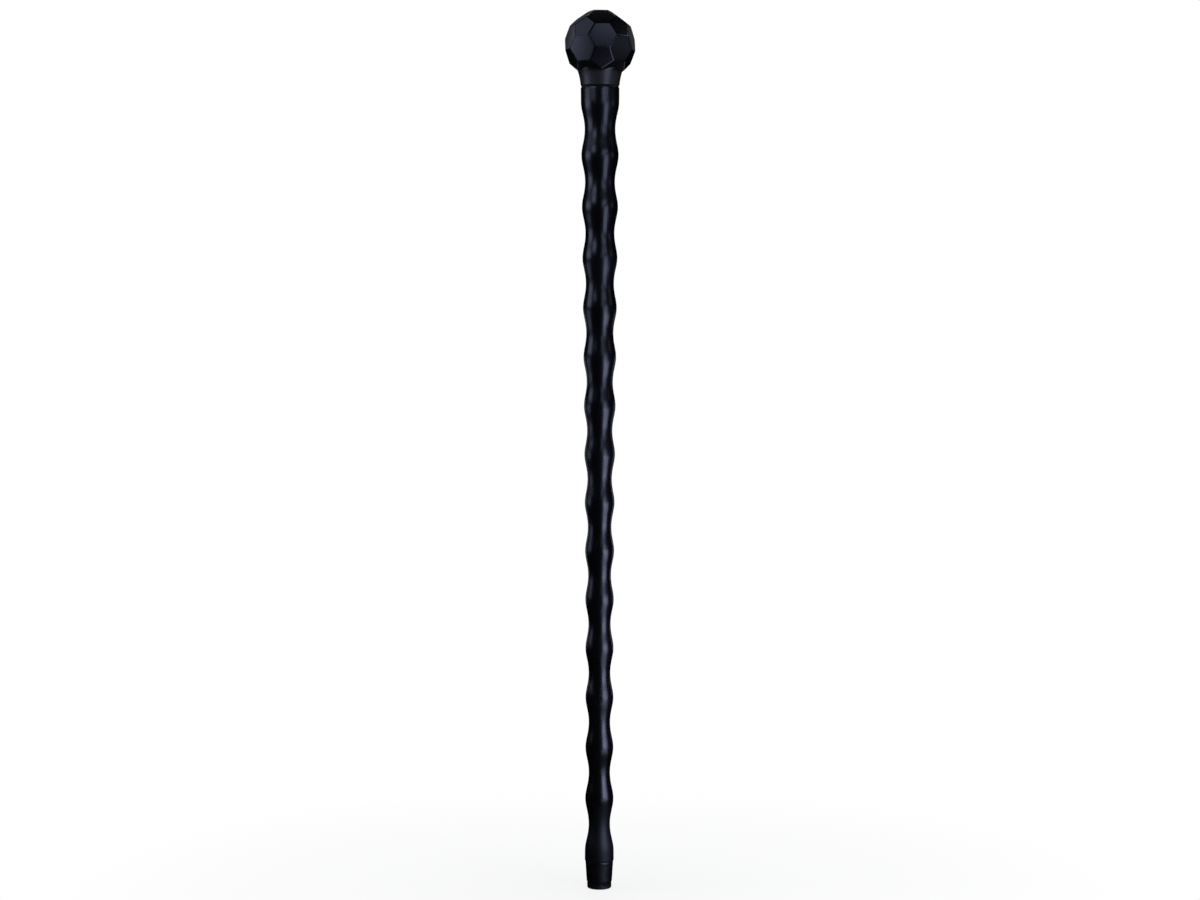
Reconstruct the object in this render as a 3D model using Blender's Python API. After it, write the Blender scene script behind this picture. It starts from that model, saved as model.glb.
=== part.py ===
"""A knobbed walking stick that stands upright on the origin: faceted knob, lobed shaft and rubber foot.

The knob screws onto the shaft with a steel stud between two brass inserts, and the foot is pushed onto a
spigot at the shaft's lower end. Lengths are in metres, +Z is up, and the front of the stick faces -Y.
"""

from math import cos, pi, radians, sin

import bmesh
import bpy
from mathutils import Matrix

# Whole stick
LENGTH = 0.953  # from the sole to the top facet
GAP = 0.0003  # clearance between neighbouring pieces
SIDES = 32  # sides of a large turned piece
SMALL_SIDES = 24  # sides of a small one
SHARP_ANGLE = radians(35)  # edges of a turned piece that bend more than this look sharp
MERGE = 1e-6

# Knob: a ball of twelve five-sided and twenty six-sided facets, with a five-sided one on top
KNOB_RADIUS = 0.0389  # from the centre to a facet's corner
KNOB_TURN = radians(4)  # the facets are turned a little to the right of the front
FACET_EDGE = 0.0011  # width of the soft edge between two facets
FACET_ANGLE = radians(20)  # two facets meet at more than this
ICOSAHEDRON_RADIUS = KNOB_RADIUS / 0.868514  # of the solid whose corners are cut off
ICOSAHEDRON_EDGE = 1.051462 * ICOSAHEDRON_RADIUS
TOP_FACET = 0.939250 * KNOB_RADIUS  # height of the top facet over the knob's centre
LOWER_CORNER = radians(-108)  # direction of a lower corner of Blender's icosahedron
FRONT = radians(-90)

# Neck, which flares from the joint up into the facets
NECK_RADIUS = 0.0208
NECK_SLOPE = 0.13
NECK_FLARE = 330.0  # per square metre, on the cube of the height
NECK_HEIGHT = 0.019
NECK_STEPS = 8
NECK_SHOULDER = 0.004  # how far its hidden top steps in, inside the ball
NECK_CHAMFER = 0.0005

# Joint between knob and shaft, a dark line round the neck
JOINT_Z = 0.8716
JOINT_HEIGHT = 0.0018
KNOB_SEAT = JOINT_Z + JOINT_HEIGHT / 2
SHAFT_TOP = JOINT_Z - JOINT_HEIGHT / 2
JOINT_WASHER_RADIUS = 0.0202

# Stud and threaded inserts
STUD_RADIUS = 0.005
STUD_ENGAGED = 0.020  # length of thread inside each insert
STUD_CHAMFER = 0.001
INSERT_RADIUS = 0.0070
INSERT_LENGTH = 0.022
INSERT_GROOVES = (0.014, 0.008)  # heights of the two grooves' middles
INSERT_GROOVE_FLOOR = 0.0016
INSERT_GROOVE_DEPTH = 0.0006
INSERT_SUNK = 0.0005  # how far an insert lies below its seat
BORE_DEPTH = 0.026

# Shaft: a tapering row of lobes. s runs from -1 at the lowest lobe to 1 at the highest
SHAFT_MIDDLE = 0.450  # height where s is 0
SHAFT_HALF = 0.410  # height from there to where s is 1
MEAN_RADIUS = (0.01462, 0.00357, 0.00142, -0.00106)  # between lobe and waist, in powers of s
LOBE_DEPTH = (0.00160, 0.0, 0.00043)  # how far a lobe stands out from that mean, in powers of s
LOBE_CREST = 0.06  # how much sharper the crests of the lobes are than their waists
LOBES_BELOW = (7.528, 7.812, 0.0, -0.259)  # the number of lobes passed, in powers of s
LOBES = 15  # steps between the lowest lobe and the highest
POINTS_PER_LOBE = 6
SHAFT_CHAMFER = 0.0004

# Foot
FERRULE_TOP = 0.0305
FERRULE_RADIUS = 0.0152
FERRULE_LOW_RADIUS = 0.0138
TREAD_TOP = 0.0082
TREAD_STEP = 0.0004
TREAD_RADIUS = 0.0132
SOLE_ROUNDING = 0.0018
SOLE_ROUNDING_STEPS = 3
SOLE_GROOVES = ((0.0076, 0.0092), (0.0040, 0.0056))  # inner and outer radius
SOLE_GROOVE_DEPTH = 0.0012
SPIGOT_RADIUS = 0.0097
SPIGOT_CHAMFER = 0.0010
SOCKET_FLOOR = 0.0052
FERRULE_WASHER_HEIGHT = 0.0015
SPIGOT_END = SOCKET_FLOOR + FERRULE_WASHER_HEIGHT + 2 * GAP

EMPTY_SIZE = 0.03


def clear_scene():
    for thing in list(bpy.data.objects):
        bpy.data.objects.remove(thing)


def plain_material(name, colour, roughness, metallic=0.0):
    material = bpy.data.materials.new(name)
    material.use_nodes = True
    surface = material.node_tree.nodes["Principled BSDF"]
    surface.inputs["Base Color"].default_value = (*colour, 1.0)
    surface.inputs["Roughness"].default_value = roughness
    surface.inputs["Metallic"].default_value = metallic
    return material


def finished_mesh(name, shape, sharp_angle=SHARP_ANGLE):
    """The bmesh as a mesh that is smooth, apart from its real edges."""
    bmesh.ops.recalc_face_normals(shape, faces=shape.faces)
    mesh = bpy.data.meshes.new(name)
    shape.to_mesh(mesh)
    shape.free()
    mesh.shade_smooth()
    mesh.set_sharp_from_angle(angle=sharp_angle)
    return mesh


def turned_mesh(name, profile, sides, ring=False):
    """A profile of (radius, height) points turned round the Z axis. A ring's profile is a closed loop."""
    shape = bmesh.new()
    points = [shape.verts.new((radius, 0, height)) for radius, height in profile]
    edges = [shape.edges.new(pair) for pair in zip(points, points[1:])]
    if ring:
        edges.append(shape.edges.new((points[-1], points[0])))
    bmesh.ops.spin(
        shape,
        geom=points + edges,
        cent=(0, 0, 0),
        axis=(0, 0, 1),
        angle=2 * pi,
        steps=sides,
        use_merge=True,
    )
    bmesh.ops.remove_doubles(shape, verts=shape.verts, dist=MERGE)
    return finished_mesh(name, shape)


def axis_empty(name, height, parent=None):
    """An empty on the stick's axis, which carries the pieces that move together."""
    empty = bpy.data.objects.new(name, None)
    bpy.context.scene.collection.objects.link(empty)
    empty.empty_display_size = EMPTY_SIZE
    empty.parent = parent
    empty.location.z = height - (parent.matrix_world.translation.z if parent else 0)
    bpy.context.view_layer.update()
    return empty


def place(mesh, height, carrier, material=None):
    """An object for the mesh, with its origin on the axis at this height over the sole."""
    piece = bpy.data.objects.new(mesh.name, mesh)
    bpy.context.scene.collection.objects.link(piece)
    piece.parent = carrier
    piece.location.z = height - carrier.matrix_world.translation.z
    if material:
        mesh.materials.append(material)
    return piece


def helper(mesh, height, carrier):
    """A solid that only cuts or joins another, so it isn't a piece of the stick."""
    solid = place(mesh, height, carrier)
    solid.hide_render = True
    solid.display_type = "WIRE"
    return solid


def add_boolean(piece, operation, other):
    boolean = piece.modifiers.new(operation.title(), "BOOLEAN")
    boolean.operation = operation
    boolean.object = other


def cylinder_profile(radius, bottom, top, chamfer=0.0):
    """A solid cylinder's profile from the top of the axis to its bottom."""
    if not chamfer:
        return [(0, top), (radius, top), (radius, bottom), (0, bottom)]
    return [
        (0, top),
        (radius - chamfer, top),
        (radius, top - chamfer),
        (radius, bottom + chamfer),
        (radius - chamfer, bottom),
        (0, bottom),
    ]


def power_series(factors, s):
    return sum(factor * s**power for power, factor in enumerate(factors))


def ball_mesh():
    """An icosahedron with each corner cut off a third of the way along its edges."""
    shape = bmesh.new()
    bmesh.ops.create_icosphere(shape, subdivisions=1, radius=ICOSAHEDRON_RADIUS)
    bmesh.ops.bevel(
        shape,
        geom=shape.verts,
        offset=ICOSAHEDRON_EDGE / 3,
        offset_type="OFFSET",
        segments=1,
        profile=0.5,
        affect="VERTICES",
    )
    turn = Matrix.Rotation(FRONT + KNOB_TURN - LOWER_CORNER, 3, "Z")
    bmesh.ops.rotate(shape, verts=shape.verts, cent=(0, 0, 0), matrix=turn)
    return finished_mesh("knob", shape, FACET_ANGLE)


def neck_radius(height):
    """Radius of the neck at a height over the knob's seat."""
    return NECK_RADIUS + NECK_SLOPE * height + NECK_FLARE * height**3


def neck_mesh(up_to):
    """The neck, solid to the axis, with a flat top hidden inside the ball."""
    heights = [NECK_HEIGHT * i / NECK_STEPS for i in range(NECK_STEPS, 0, -1)]
    profile = [(0, up_to), (neck_radius(NECK_HEIGHT) - NECK_SHOULDER, up_to)]
    profile += [(neck_radius(height), height) for height in heights]
    profile += [
        (neck_radius(NECK_CHAMFER), NECK_CHAMFER),
        (NECK_RADIUS - NECK_CHAMFER, 0),
        (0, 0),
    ]
    return turned_mesh("neck_shape", profile, SIDES)


def insert_mesh(name):
    """A threaded insert: a short brass tube with two grooves that key it into the moulding."""
    outside = [(INSERT_RADIUS, INSERT_LENGTH)]
    floor_radius = INSERT_RADIUS - INSERT_GROOVE_DEPTH
    for middle in INSERT_GROOVES:
        floor = INSERT_GROOVE_FLOOR / 2
        mouth = floor + INSERT_GROOVE_DEPTH
        outside += [
            (INSERT_RADIUS, middle + mouth),
            (floor_radius, middle + floor),
            (floor_radius, middle - floor),
            (INSERT_RADIUS, middle - mouth),
        ]
    outside.append((INSERT_RADIUS, 0))
    thread = STUD_RADIUS + GAP
    return turned_mesh(name, outside + [(thread, 0), (thread, INSERT_LENGTH)], SMALL_SIDES, ring=True)


def shaft_radius(height):
    """Outer radius of the shaft: the mean of lobe and waist, and a wave over it with sharpened crests."""
    s = (height - SHAFT_MIDDLE) / SHAFT_HALF
    turn = 2 * pi * min(max(power_series(LOBES_BELOW, s), 0), LOBES)
    wave = cos(turn) + LOBE_CREST * cos(2 * turn)
    return power_series(MEAN_RADIUS, s) + power_series(LOBE_DEPTH, s) * wave


def shaft_mesh():
    """The shaft, with its spigot for the foot, standing on the foot's top."""
    steps = (LOBES + 1) * POINTS_PER_LOBE
    heights = [SHAFT_TOP - (SHAFT_TOP - FERRULE_TOP) * i / steps for i in range(1, steps + 1)]
    top_radius = shaft_radius(SHAFT_TOP)
    profile = [
        (0, SHAFT_TOP),
        (top_radius - SHAFT_CHAMFER, SHAFT_TOP),
        (top_radius, SHAFT_TOP - SHAFT_CHAMFER),
    ]
    profile += [(shaft_radius(height), height) for height in heights]
    profile += [
        (SPIGOT_RADIUS, FERRULE_TOP),
        (SPIGOT_RADIUS, SPIGOT_END + SPIGOT_CHAMFER),
        (SPIGOT_RADIUS - SPIGOT_CHAMFER, SPIGOT_END),
        (0, SPIGOT_END),
    ]
    return turned_mesh("shaft", [(radius, height - FERRULE_TOP) for radius, height in profile], SIDES)


def ferrule_mesh():
    """The rubber foot: a cup with a tread band, two ring grooves in its sole and a deep socket."""
    top = FERRULE_TOP - GAP
    profile = [
        (FERRULE_RADIUS - TREAD_STEP, top),
        (FERRULE_RADIUS, top - TREAD_STEP),
        (FERRULE_LOW_RADIUS, TREAD_TOP),
        (FERRULE_LOW_RADIUS - TREAD_STEP, TREAD_TOP - TREAD_STEP),
    ]
    for i in range(SOLE_ROUNDING_STEPS + 1):
        angle = pi / 2 * i / SOLE_ROUNDING_STEPS
        out, down = SOLE_ROUNDING * (1 - cos(angle)), SOLE_ROUNDING * (1 - sin(angle))
        profile.append((TREAD_RADIUS - out, down))
    for inner, outer in SOLE_GROOVES:
        profile += [(outer, 0), (outer, SOLE_GROOVE_DEPTH), (inner, SOLE_GROOVE_DEPTH), (inner, 0)]
    socket = SPIGOT_RADIUS + GAP
    profile += [(0, 0), (0, SOCKET_FLOOR), (socket, SOCKET_FLOOR), (socket, top)]
    return turned_mesh("ferrule", profile, SIDES, ring=True)


def ferrule_washer_mesh():
    """The steel disc on the socket's floor."""
    disc = cylinder_profile(SPIGOT_RADIUS - GAP, 0, FERRULE_WASHER_HEIGHT)
    return turned_mesh("ferrule_washer", disc, SMALL_SIDES)


def joint_washer_mesh():
    """The dark washer that fills the joint, with a hole for the stud."""
    thickness = JOINT_HEIGHT - 2 * GAP
    hole = STUD_RADIUS + GAP
    ring = [(JOINT_WASHER_RADIUS, thickness), (JOINT_WASHER_RADIUS, 0), (hole, 0), (hole, thickness)]
    return turned_mesh("joint_washer", ring, SIDES, ring=True)


def stud_mesh():
    rod = cylinder_profile(STUD_RADIUS, 0, 2 * STUD_ENGAGED + JOINT_HEIGHT, STUD_CHAMFER)
    return turned_mesh("joining_stud", rod, SMALL_SIDES)


def bore_mesh(name):
    """The shape of an insert's bore, as deep on both sides of the seat that it is cut from."""
    drill = cylinder_profile(INSERT_RADIUS + GAP, -BORE_DEPTH, BORE_DEPTH)
    return turned_mesh(name, drill, SMALL_SIDES)


def build():
    clear_scene()
    plastic = plain_material("black_plastic", (0.0020, 0.0021, 0.0027), 0.30)
    rubber = plain_material("black_rubber", (0.0030, 0.0030, 0.0033), 0.50)
    fibre = plain_material("black_fibre", (0.0030, 0.0030, 0.0034), 0.75)
    steel = plain_material("zinc_steel", (0.62, 0.63, 0.64), 0.32, 1.0)
    brass = plain_material("insert_brass", (0.72, 0.53, 0.24), 0.30, 1.0)

    foot = axis_empty("foot_carrier", 0)
    stick = axis_empty("stick_carrier", FERRULE_TOP, foot)
    joint = axis_empty("joint_carrier", JOINT_Z, stick)
    head = axis_empty("knob_carrier", KNOB_SEAT, joint)

    place(ferrule_mesh(), 0, foot, rubber)
    place(ferrule_washer_mesh(), SOCKET_FLOOR + GAP, foot, steel)

    shaft = place(shaft_mesh(), FERRULE_TOP, stick, plastic)
    add_boolean(shaft, "DIFFERENCE", helper(bore_mesh("shaft_bore"), SHAFT_TOP, stick))
    place(insert_mesh("shaft_insert"), SHAFT_TOP - INSERT_SUNK - INSERT_LENGTH, stick, brass)

    place(joint_washer_mesh(), SHAFT_TOP + GAP, joint, fibre)

    centre = LENGTH - TOP_FACET
    knob = place(ball_mesh(), centre, head, plastic)
    edges = knob.modifiers.new("Facet edges", "BEVEL")
    edges.width = FACET_EDGE
    edges.segments = 2
    edges.limit_method = "ANGLE"
    edges.angle_limit = FACET_ANGLE
    add_boolean(knob, "UNION", helper(neck_mesh(centre - KNOB_SEAT), KNOB_SEAT, head))
    add_boolean(knob, "DIFFERENCE", helper(bore_mesh("knob_bore"), KNOB_SEAT, head))
    place(insert_mesh("knob_insert"), KNOB_SEAT + INSERT_SUNK, head, brass)
    place(stud_mesh(), SHAFT_TOP - STUD_ENGAGED, head, steel)


build()
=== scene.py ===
# %% [markdown]
# A knobbed walking stick. It is two mouldings of near-black plastic, a knob with flat facets and a shaft
# with sixteen soft lobes, which a steel stud holds together. A rubber foot is pushed on at the bottom.
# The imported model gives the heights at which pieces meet. This lesson makes each piece again in finer
# detail, gives it a finish, and sets up the light and the camera. Lengths are in metres, and the front of
# the stick faces -Y.

from math import cos, pi, radians, sin

import bpy
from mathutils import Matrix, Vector


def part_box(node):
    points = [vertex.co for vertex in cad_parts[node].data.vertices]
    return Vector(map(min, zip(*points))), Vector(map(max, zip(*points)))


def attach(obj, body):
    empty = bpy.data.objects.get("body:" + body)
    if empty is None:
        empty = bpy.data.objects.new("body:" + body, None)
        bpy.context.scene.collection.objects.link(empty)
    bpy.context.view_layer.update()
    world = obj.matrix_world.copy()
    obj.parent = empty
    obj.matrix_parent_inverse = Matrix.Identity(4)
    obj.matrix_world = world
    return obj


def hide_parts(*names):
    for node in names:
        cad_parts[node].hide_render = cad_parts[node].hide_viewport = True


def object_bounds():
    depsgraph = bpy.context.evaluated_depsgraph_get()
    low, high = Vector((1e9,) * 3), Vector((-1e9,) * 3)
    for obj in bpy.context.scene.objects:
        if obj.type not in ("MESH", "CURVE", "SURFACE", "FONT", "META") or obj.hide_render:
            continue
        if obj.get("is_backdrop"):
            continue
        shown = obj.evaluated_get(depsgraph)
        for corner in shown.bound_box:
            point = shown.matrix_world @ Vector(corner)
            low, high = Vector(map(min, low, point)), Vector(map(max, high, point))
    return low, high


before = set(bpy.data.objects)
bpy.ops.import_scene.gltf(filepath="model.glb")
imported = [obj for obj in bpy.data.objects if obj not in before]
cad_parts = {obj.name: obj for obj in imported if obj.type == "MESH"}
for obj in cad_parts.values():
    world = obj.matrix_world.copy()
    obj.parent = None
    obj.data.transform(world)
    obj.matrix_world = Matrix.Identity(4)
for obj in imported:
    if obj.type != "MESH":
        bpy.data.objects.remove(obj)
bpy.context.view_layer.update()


def packed_height(node, end):
    """How high the lower end (0) or upper end (1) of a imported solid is, to a tenth of a millimetre."""
    return round(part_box(node)[end].z, 4)


FOOT_TOP = packed_height("ferrule", 1)
SPIGOT_END = packed_height("shaft", 0)
SHAFT_TOP = packed_height("shaft", 1)
KNOB_SEAT = packed_height("knob", 0)
KNOB_TOP = packed_height("knob", 1)
print("heights of spigot, foot, shaft, seat and knob:", SPIGOT_END, FOOT_TOP, SHAFT_TOP, KNOB_SEAT, KNOB_TOP)

# %% [markdown]
# Blender's operators act on whatever is selected, and the loaded model starts out selected. So each step
# first leaves edit mode and lets go of everything. In the 3D view a click would then pick single points
# or faces. Here a test on each one's place or normal does the picking.


# %% Picking by place
def pick_nothing():
    if bpy.context.object and bpy.context.object.mode != "OBJECT":
        bpy.ops.object.mode_set(mode="OBJECT")
    bpy.ops.object.select_all(action="DESELECT")


def pick_piece(piece):
    pick_nothing()
    piece.select_set(True)
    bpy.context.view_layer.objects.active = piece


def edit_all(piece, kind="VERT"):
    """Goes into edit mode with the whole piece picked."""
    pick_piece(piece)
    bpy.ops.object.mode_set(mode="EDIT")
    bpy.ops.mesh.select_mode(type=kind)
    bpy.ops.mesh.select_all(action="SELECT")


def edit_some(piece, kind, test):
    """Goes into edit mode with only those points ("VERT") or faces ("FACE") picked that pass the test."""
    edit_all(piece, kind)
    bpy.ops.mesh.select_all(action="DESELECT")
    bpy.ops.object.mode_set(mode="OBJECT")
    for part in piece.data.vertices if kind == "VERT" else piece.data.polygons:
        part.select = test(part)
    bpy.ops.object.mode_set(mode="EDIT")


# %% [markdown]
# A new primitive has its place in its object. Every piece here ends up with its object at the origin and
# its place in its mesh, because the patterns of its finish are measured from the object. And because a
# picture can hide a hole, each step also prints how many edges lack one of their two faces.


# %% Taking up a new piece, and measuring it
def take_piece(name):
    """Names the primitive that was just added, and moves its place into its mesh."""
    piece = bpy.context.object
    piece.name = piece.data.name = name
    bpy.ops.object.transform_apply(location=True, rotation=True, scale=True)
    return piece


def say(piece):
    """Prints a piece's size in mm, its faces, and how many edges don't have exactly two faces."""
    faces_at_edge = dict.fromkeys(piece.data.edge_keys, 0)
    for face in piece.data.polygons:
        for edge in face.edge_keys:
            faces_at_edge[edge] += 1
    open_edges = sum(count != 2 for count in faces_at_edge.values())
    size = [round(1000 * side, 2) for side in piece.dimensions]
    print(piece.name, size, "mm,", len(piece.data.polygons), "faces,", open_edges, "open edges")


# %% [markdown]
# Most pieces of a stick are round, as if turned on a lathe. By hand such a piece starts as a circle, which
# is extruded ring by ring along its outline and scaled at each ring. A Screw modifier would turn an outline
# too, but rings of vertices stay easy to pick for what comes later. The two ends are closed by a fan of
# triangles round a middle point, and a ring, such as a washer, is closed by a bridge from its last circle
# to its first.

# %% Turning a piece
ROUND_SIDES = 96


def close_with_fan():
    bpy.ops.mesh.edge_face_add()
    bpy.ops.mesh.poke()


def pick_openings():
    bpy.ops.mesh.select_all(action="DESELECT")
    bpy.ops.mesh.select_non_manifold()


def face_outwards():
    bpy.ops.mesh.select_all(action="SELECT")
    bpy.ops.mesh.normals_make_consistent(inside=False)
    bpy.ops.object.mode_set(mode="OBJECT")


def turned_piece(name, path, sides=ROUND_SIDES, ring=False):
    """A solid turned round the Z axis along a path of (radius, height), every radius above 0."""
    pick_nothing()
    radius, height = path[0]
    bpy.ops.mesh.primitive_circle_add(vertices=sides, radius=radius, location=(0, 0, height))
    piece = take_piece(name)
    edit_all(piece)
    for (radius, height), (next_radius, next_height) in zip(path, path[1:]):
        up = (0, 0, next_height - height)
        wider = next_radius / radius
        bpy.ops.mesh.extrude_region_move(TRANSFORM_OT_translate={"value": up})
        bpy.ops.transform.resize(value=(wider, wider, 1), center_override=(0, 0, next_height))
    if ring:
        pick_openings()
        bpy.ops.mesh.bridge_edge_loops()
    else:
        close_with_fan()
        pick_openings()
        close_with_fan()
    face_outwards()
    return piece


def arc(radius, height, size, start, end, steps=4):
    """Points of a rounded edge: a part of a circle about (radius, height), from one angle to another."""
    angles = [radians(start + (end - start) * i / steps) for i in range(steps + 1)]
    return [(radius + size * cos(angle), height + size * sin(angle)) for angle in angles]


# %% [markdown]
# Moulded pieces are joined to and cut by others. A Boolean modifier does both. It is applied at once, so
# that what is kept is a plain mesh, and the cutter is deleted. It leaves some points nearly on top of each
# other where cuts meet, so points closer than a fiftieth of a millimetre are merged. Shading comes last:
# faces that meet at a small angle are shaded as one smooth skin, and a real edge stays an edge.

# %% Cutting, joining and shading
MERGE_DISTANCE = 0.00002


def combine(piece, operation, other):
    pick_piece(piece)
    bpy.ops.object.modifier_add(type="BOOLEAN")
    boolean = piece.modifiers[-1]
    boolean.operation = operation
    boolean.object = other
    bpy.ops.object.modifier_apply(modifier=boolean.name)
    pick_piece(other)
    bpy.ops.object.delete()
    edit_all(piece)
    bpy.ops.mesh.remove_doubles(threshold=MERGE_DISTANCE)
    bpy.ops.object.mode_set(mode="OBJECT")


def shade(piece, sharp=35):
    """Shades as smooth where faces meet at less than this many degrees."""
    pick_piece(piece)
    bpy.ops.object.shade_smooth_by_angle(angle=radians(sharp))


# %% [markdown]
# The shaft tapers from the knob to the foot, and sixteen soft lobes run along it like the swellings of a
# trimmed thorn stick. Moving each ring by hand would take hours, so formulas place them: a mean radius
# that shrinks downwards, and a wave over it whose crests are a little sharper than its waists. Each formula
# is a power series in s, which is 0 in the middle of the shaft and about 1 at its top and -1 at its foot,
# so its first number is the value in the middle. Eighteen rings to a lobe and 96 sides keep the outline
# round in a close view.

# %% Shaft outline
SHAFT_MIDDLE, SHAFT_HALF = 0.450, 0.410
MEAN_RADIUS = (0.01462, 0.00357, 0.00142, -0.00106)
LOBE_DEPTH = (0.00160, 0.0, 0.00043)
LOBE_CREST = 0.06
LOBES_BELOW = (7.528, 7.812, 0.0, -0.259)
LOBES, RINGS_PER_LOBE = 16, 18


def power_series(factors, s):
    return sum(factor * s**power for power, factor in enumerate(factors))


def shaft_radius(height):
    s = (height - SHAFT_MIDDLE) / SHAFT_HALF
    turn = 2 * pi * min(max(power_series(LOBES_BELOW, s), 0), LOBES - 1)
    wave = cos(turn) + LOBE_CREST * cos(2 * turn)
    return power_series(MEAN_RADIUS, s) + power_series(LOBE_DEPTH, s) * wave


print("shaft radius in mm:", [round(1000 * shaft_radius(z), 2) for z in (0.05, 0.25, 0.45, 0.65, 0.86)])

# %% [markdown]
# One path makes the whole shaft. It starts at the floor of the bore for the brass insert, comes up the bore
# and over a rounded top edge, runs down the lobes, steps in at the shoulder to the spigot that the rubber
# foot grips, and ends at the spigot's rounded tip. A small hollow there is what the gate of the mould
# leaves. Pieces that touch on the real stick are 0.3 mm apart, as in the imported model.

# %% Shaft
GAP = 0.0003
SHOULDER = FOOT_TOP + GAP
BORE_RADIUS, BORE_DEPTH = 0.0073, 0.026
BORE_LEAD, BORE_CORNER = 0.0006, 0.001
SHAFT_EDGE = 0.0004
SPIGOT_RADIUS, SPIGOT_EDGE, SPIGOT_ROOT = 0.0097, 0.0012, 0.0004
GATE_RADIUS, GATE_FLOOR, GATE_DEPTH = 0.0016, 0.0012, 0.0004
RINGS = RINGS_PER_LOBE * LOBES

shaft_path = [
    (BORE_RADIUS - BORE_CORNER, SHAFT_TOP - BORE_DEPTH),
    (BORE_RADIUS, SHAFT_TOP - BORE_DEPTH + BORE_CORNER),
    (BORE_RADIUS, SHAFT_TOP - BORE_LEAD),
    (BORE_RADIUS + BORE_LEAD, SHAFT_TOP),
]
shaft_path += arc(shaft_radius(SHAFT_TOP) - SHAFT_EDGE, SHAFT_TOP - SHAFT_EDGE, SHAFT_EDGE, 90, 0)
heights = [SHAFT_TOP - (SHAFT_TOP - SHOULDER) * i / RINGS for i in range(1, RINGS)]
shaft_path += [(shaft_radius(height), height) for height in heights]
shaft_path += arc(shaft_radius(SHOULDER) - SHAFT_EDGE, SHOULDER + SHAFT_EDGE, SHAFT_EDGE, 0, -90)
shaft_path += [(SPIGOT_RADIUS + SPIGOT_ROOT, SHOULDER), (SPIGOT_RADIUS, SHOULDER - SPIGOT_ROOT)]
shaft_path += arc(SPIGOT_RADIUS - SPIGOT_EDGE, SPIGOT_END + SPIGOT_EDGE, SPIGOT_EDGE, 0, -90)
shaft_path += [(GATE_RADIUS, SPIGOT_END), (GATE_FLOOR, SPIGOT_END + GATE_DEPTH)]
shaft = turned_piece("stick_shaft", shaft_path)
say(shaft)

# %% [markdown]
# The two halves of the mould meet along both sides of the shaft and leave a hair-thin ridge there. The
# edges that run down those sides are bevelled into three lines close together, and the middle line is
# pulled out by less than a tenth of a millimetre. The ridge stops a millimetre short of both ends.

# %% Parting lines of the mould
SEAM_WIDTH, SEAM_HEIGHT, SEAM_END = 0.00022, 0.00007, 0.001
HAIR = 1e-6


def on_side(point, side):
    """True for a point of the outer skin on the line where the mould's halves meet."""
    outside = side * point.co.x > SPIGOT_RADIUS
    return outside and abs(point.co.y) < HAIR and SHOULDER + SEAM_END < point.co.z < SHAFT_TOP - SEAM_END


edit_some(shaft, "VERT", lambda point: on_side(point, 1) or on_side(point, -1))
bpy.ops.mesh.bevel(offset=SEAM_WIDTH, segments=2, affect="EDGES", offset_type="OFFSET")
for side in (1, -1):
    edit_some(shaft, "VERT", lambda point: on_side(point, side))
    bpy.ops.transform.translate(value=(side * SEAM_HEIGHT, 0, 0))
shade(shaft)
say(shaft)

# %% [markdown]
# The ball of the knob has twelve five-sided and twenty six-sided facets. That solid is an icosahedron with
# its corners cut off a third of the way along the edges, and a vertex bevel of just that width cuts them.
# One five-sided facet ends up on top, level, as on the real knob. Three ratios of that solid place it: the
# icosahedron's edge and the cut ball's radius, both for an icosahedron of radius 1, and how far a
# five-sided facet is from the middle of a ball of radius 1.

# %% Knob: cut the ball's facets
KNOB_RADIUS = 0.0389
EDGE_RATIO, BALL_RATIO, FACET_RATIO = 1.051462, 0.868514, 0.939250
KNOB_CENTRE = (0, 0, KNOB_TOP - FACET_RATIO * KNOB_RADIUS)
KNOB_TURN = radians(-22)

whole_radius = KNOB_RADIUS / BALL_RATIO
corner_cut = EDGE_RATIO * whole_radius / 3
pick_nothing()
bpy.ops.mesh.primitive_ico_sphere_add(subdivisions=1, radius=whole_radius, location=KNOB_CENTRE)
knob = take_piece("faceted_knob")
edit_all(knob)
bpy.ops.mesh.bevel(offset=corner_cut, affect="VERTICES", offset_type="OFFSET", segments=1)
bpy.ops.mesh.select_all(action="SELECT")
bpy.ops.transform.rotate(value=KNOB_TURN, orient_axis="Z", center_override=KNOB_CENTRE)
bpy.ops.object.mode_set(mode="OBJECT")
say(knob)

# %% [markdown]
# Moulded facets are never dead flat, and their edges are rounded from the mould and from handling. Each
# facet is divided into small triangles, the whole is drawn a little way towards a ball, which crowns the
# facets by a few tenths of a millimetre, and then the sharp edges between facets are bevelled in small
# steps. The crown lifts the top facet a little too, so the ball is lowered by as much, to a hundredth of a
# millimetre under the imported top, and the stick keeps its length.

# %% Knob: crown the facets and round their edges
CROWN, FACET_CUTS = 0.10, 7
FACET_EDGE, FACET_EDGE_STEPS = 0.0010, 4
SHARP_EDGE = radians(20)
UNDER_TOP = 0.00001

edit_all(knob, "FACE")
bpy.ops.mesh.poke()
bpy.ops.mesh.subdivide(number_cuts=FACET_CUTS)
bpy.ops.mesh.select_all(action="SELECT")
bpy.ops.transform.tosphere(value=CROWN)
bpy.ops.mesh.select_all(action="DESELECT")
bpy.ops.mesh.select_mode(type="EDGE")
bpy.ops.mesh.edges_select_sharp(sharpness=SHARP_EDGE)
bpy.ops.mesh.bevel(offset=FACET_EDGE, segments=FACET_EDGE_STEPS, affect="EDGES", offset_type="OFFSET")
bpy.ops.object.mode_set(mode="OBJECT")
crowned_top = max(point.co.z for point in knob.data.vertices)
edit_all(knob)
bpy.ops.transform.translate(value=(0, 0, KNOB_TOP - UNDER_TOP - crowned_top))
bpy.ops.object.mode_set(mode="OBJECT")
print("the crowned top stood", round(1000 * (crowned_top - KNOB_TOP), 3), "mm too high, and is lowered")
say(knob)

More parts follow.
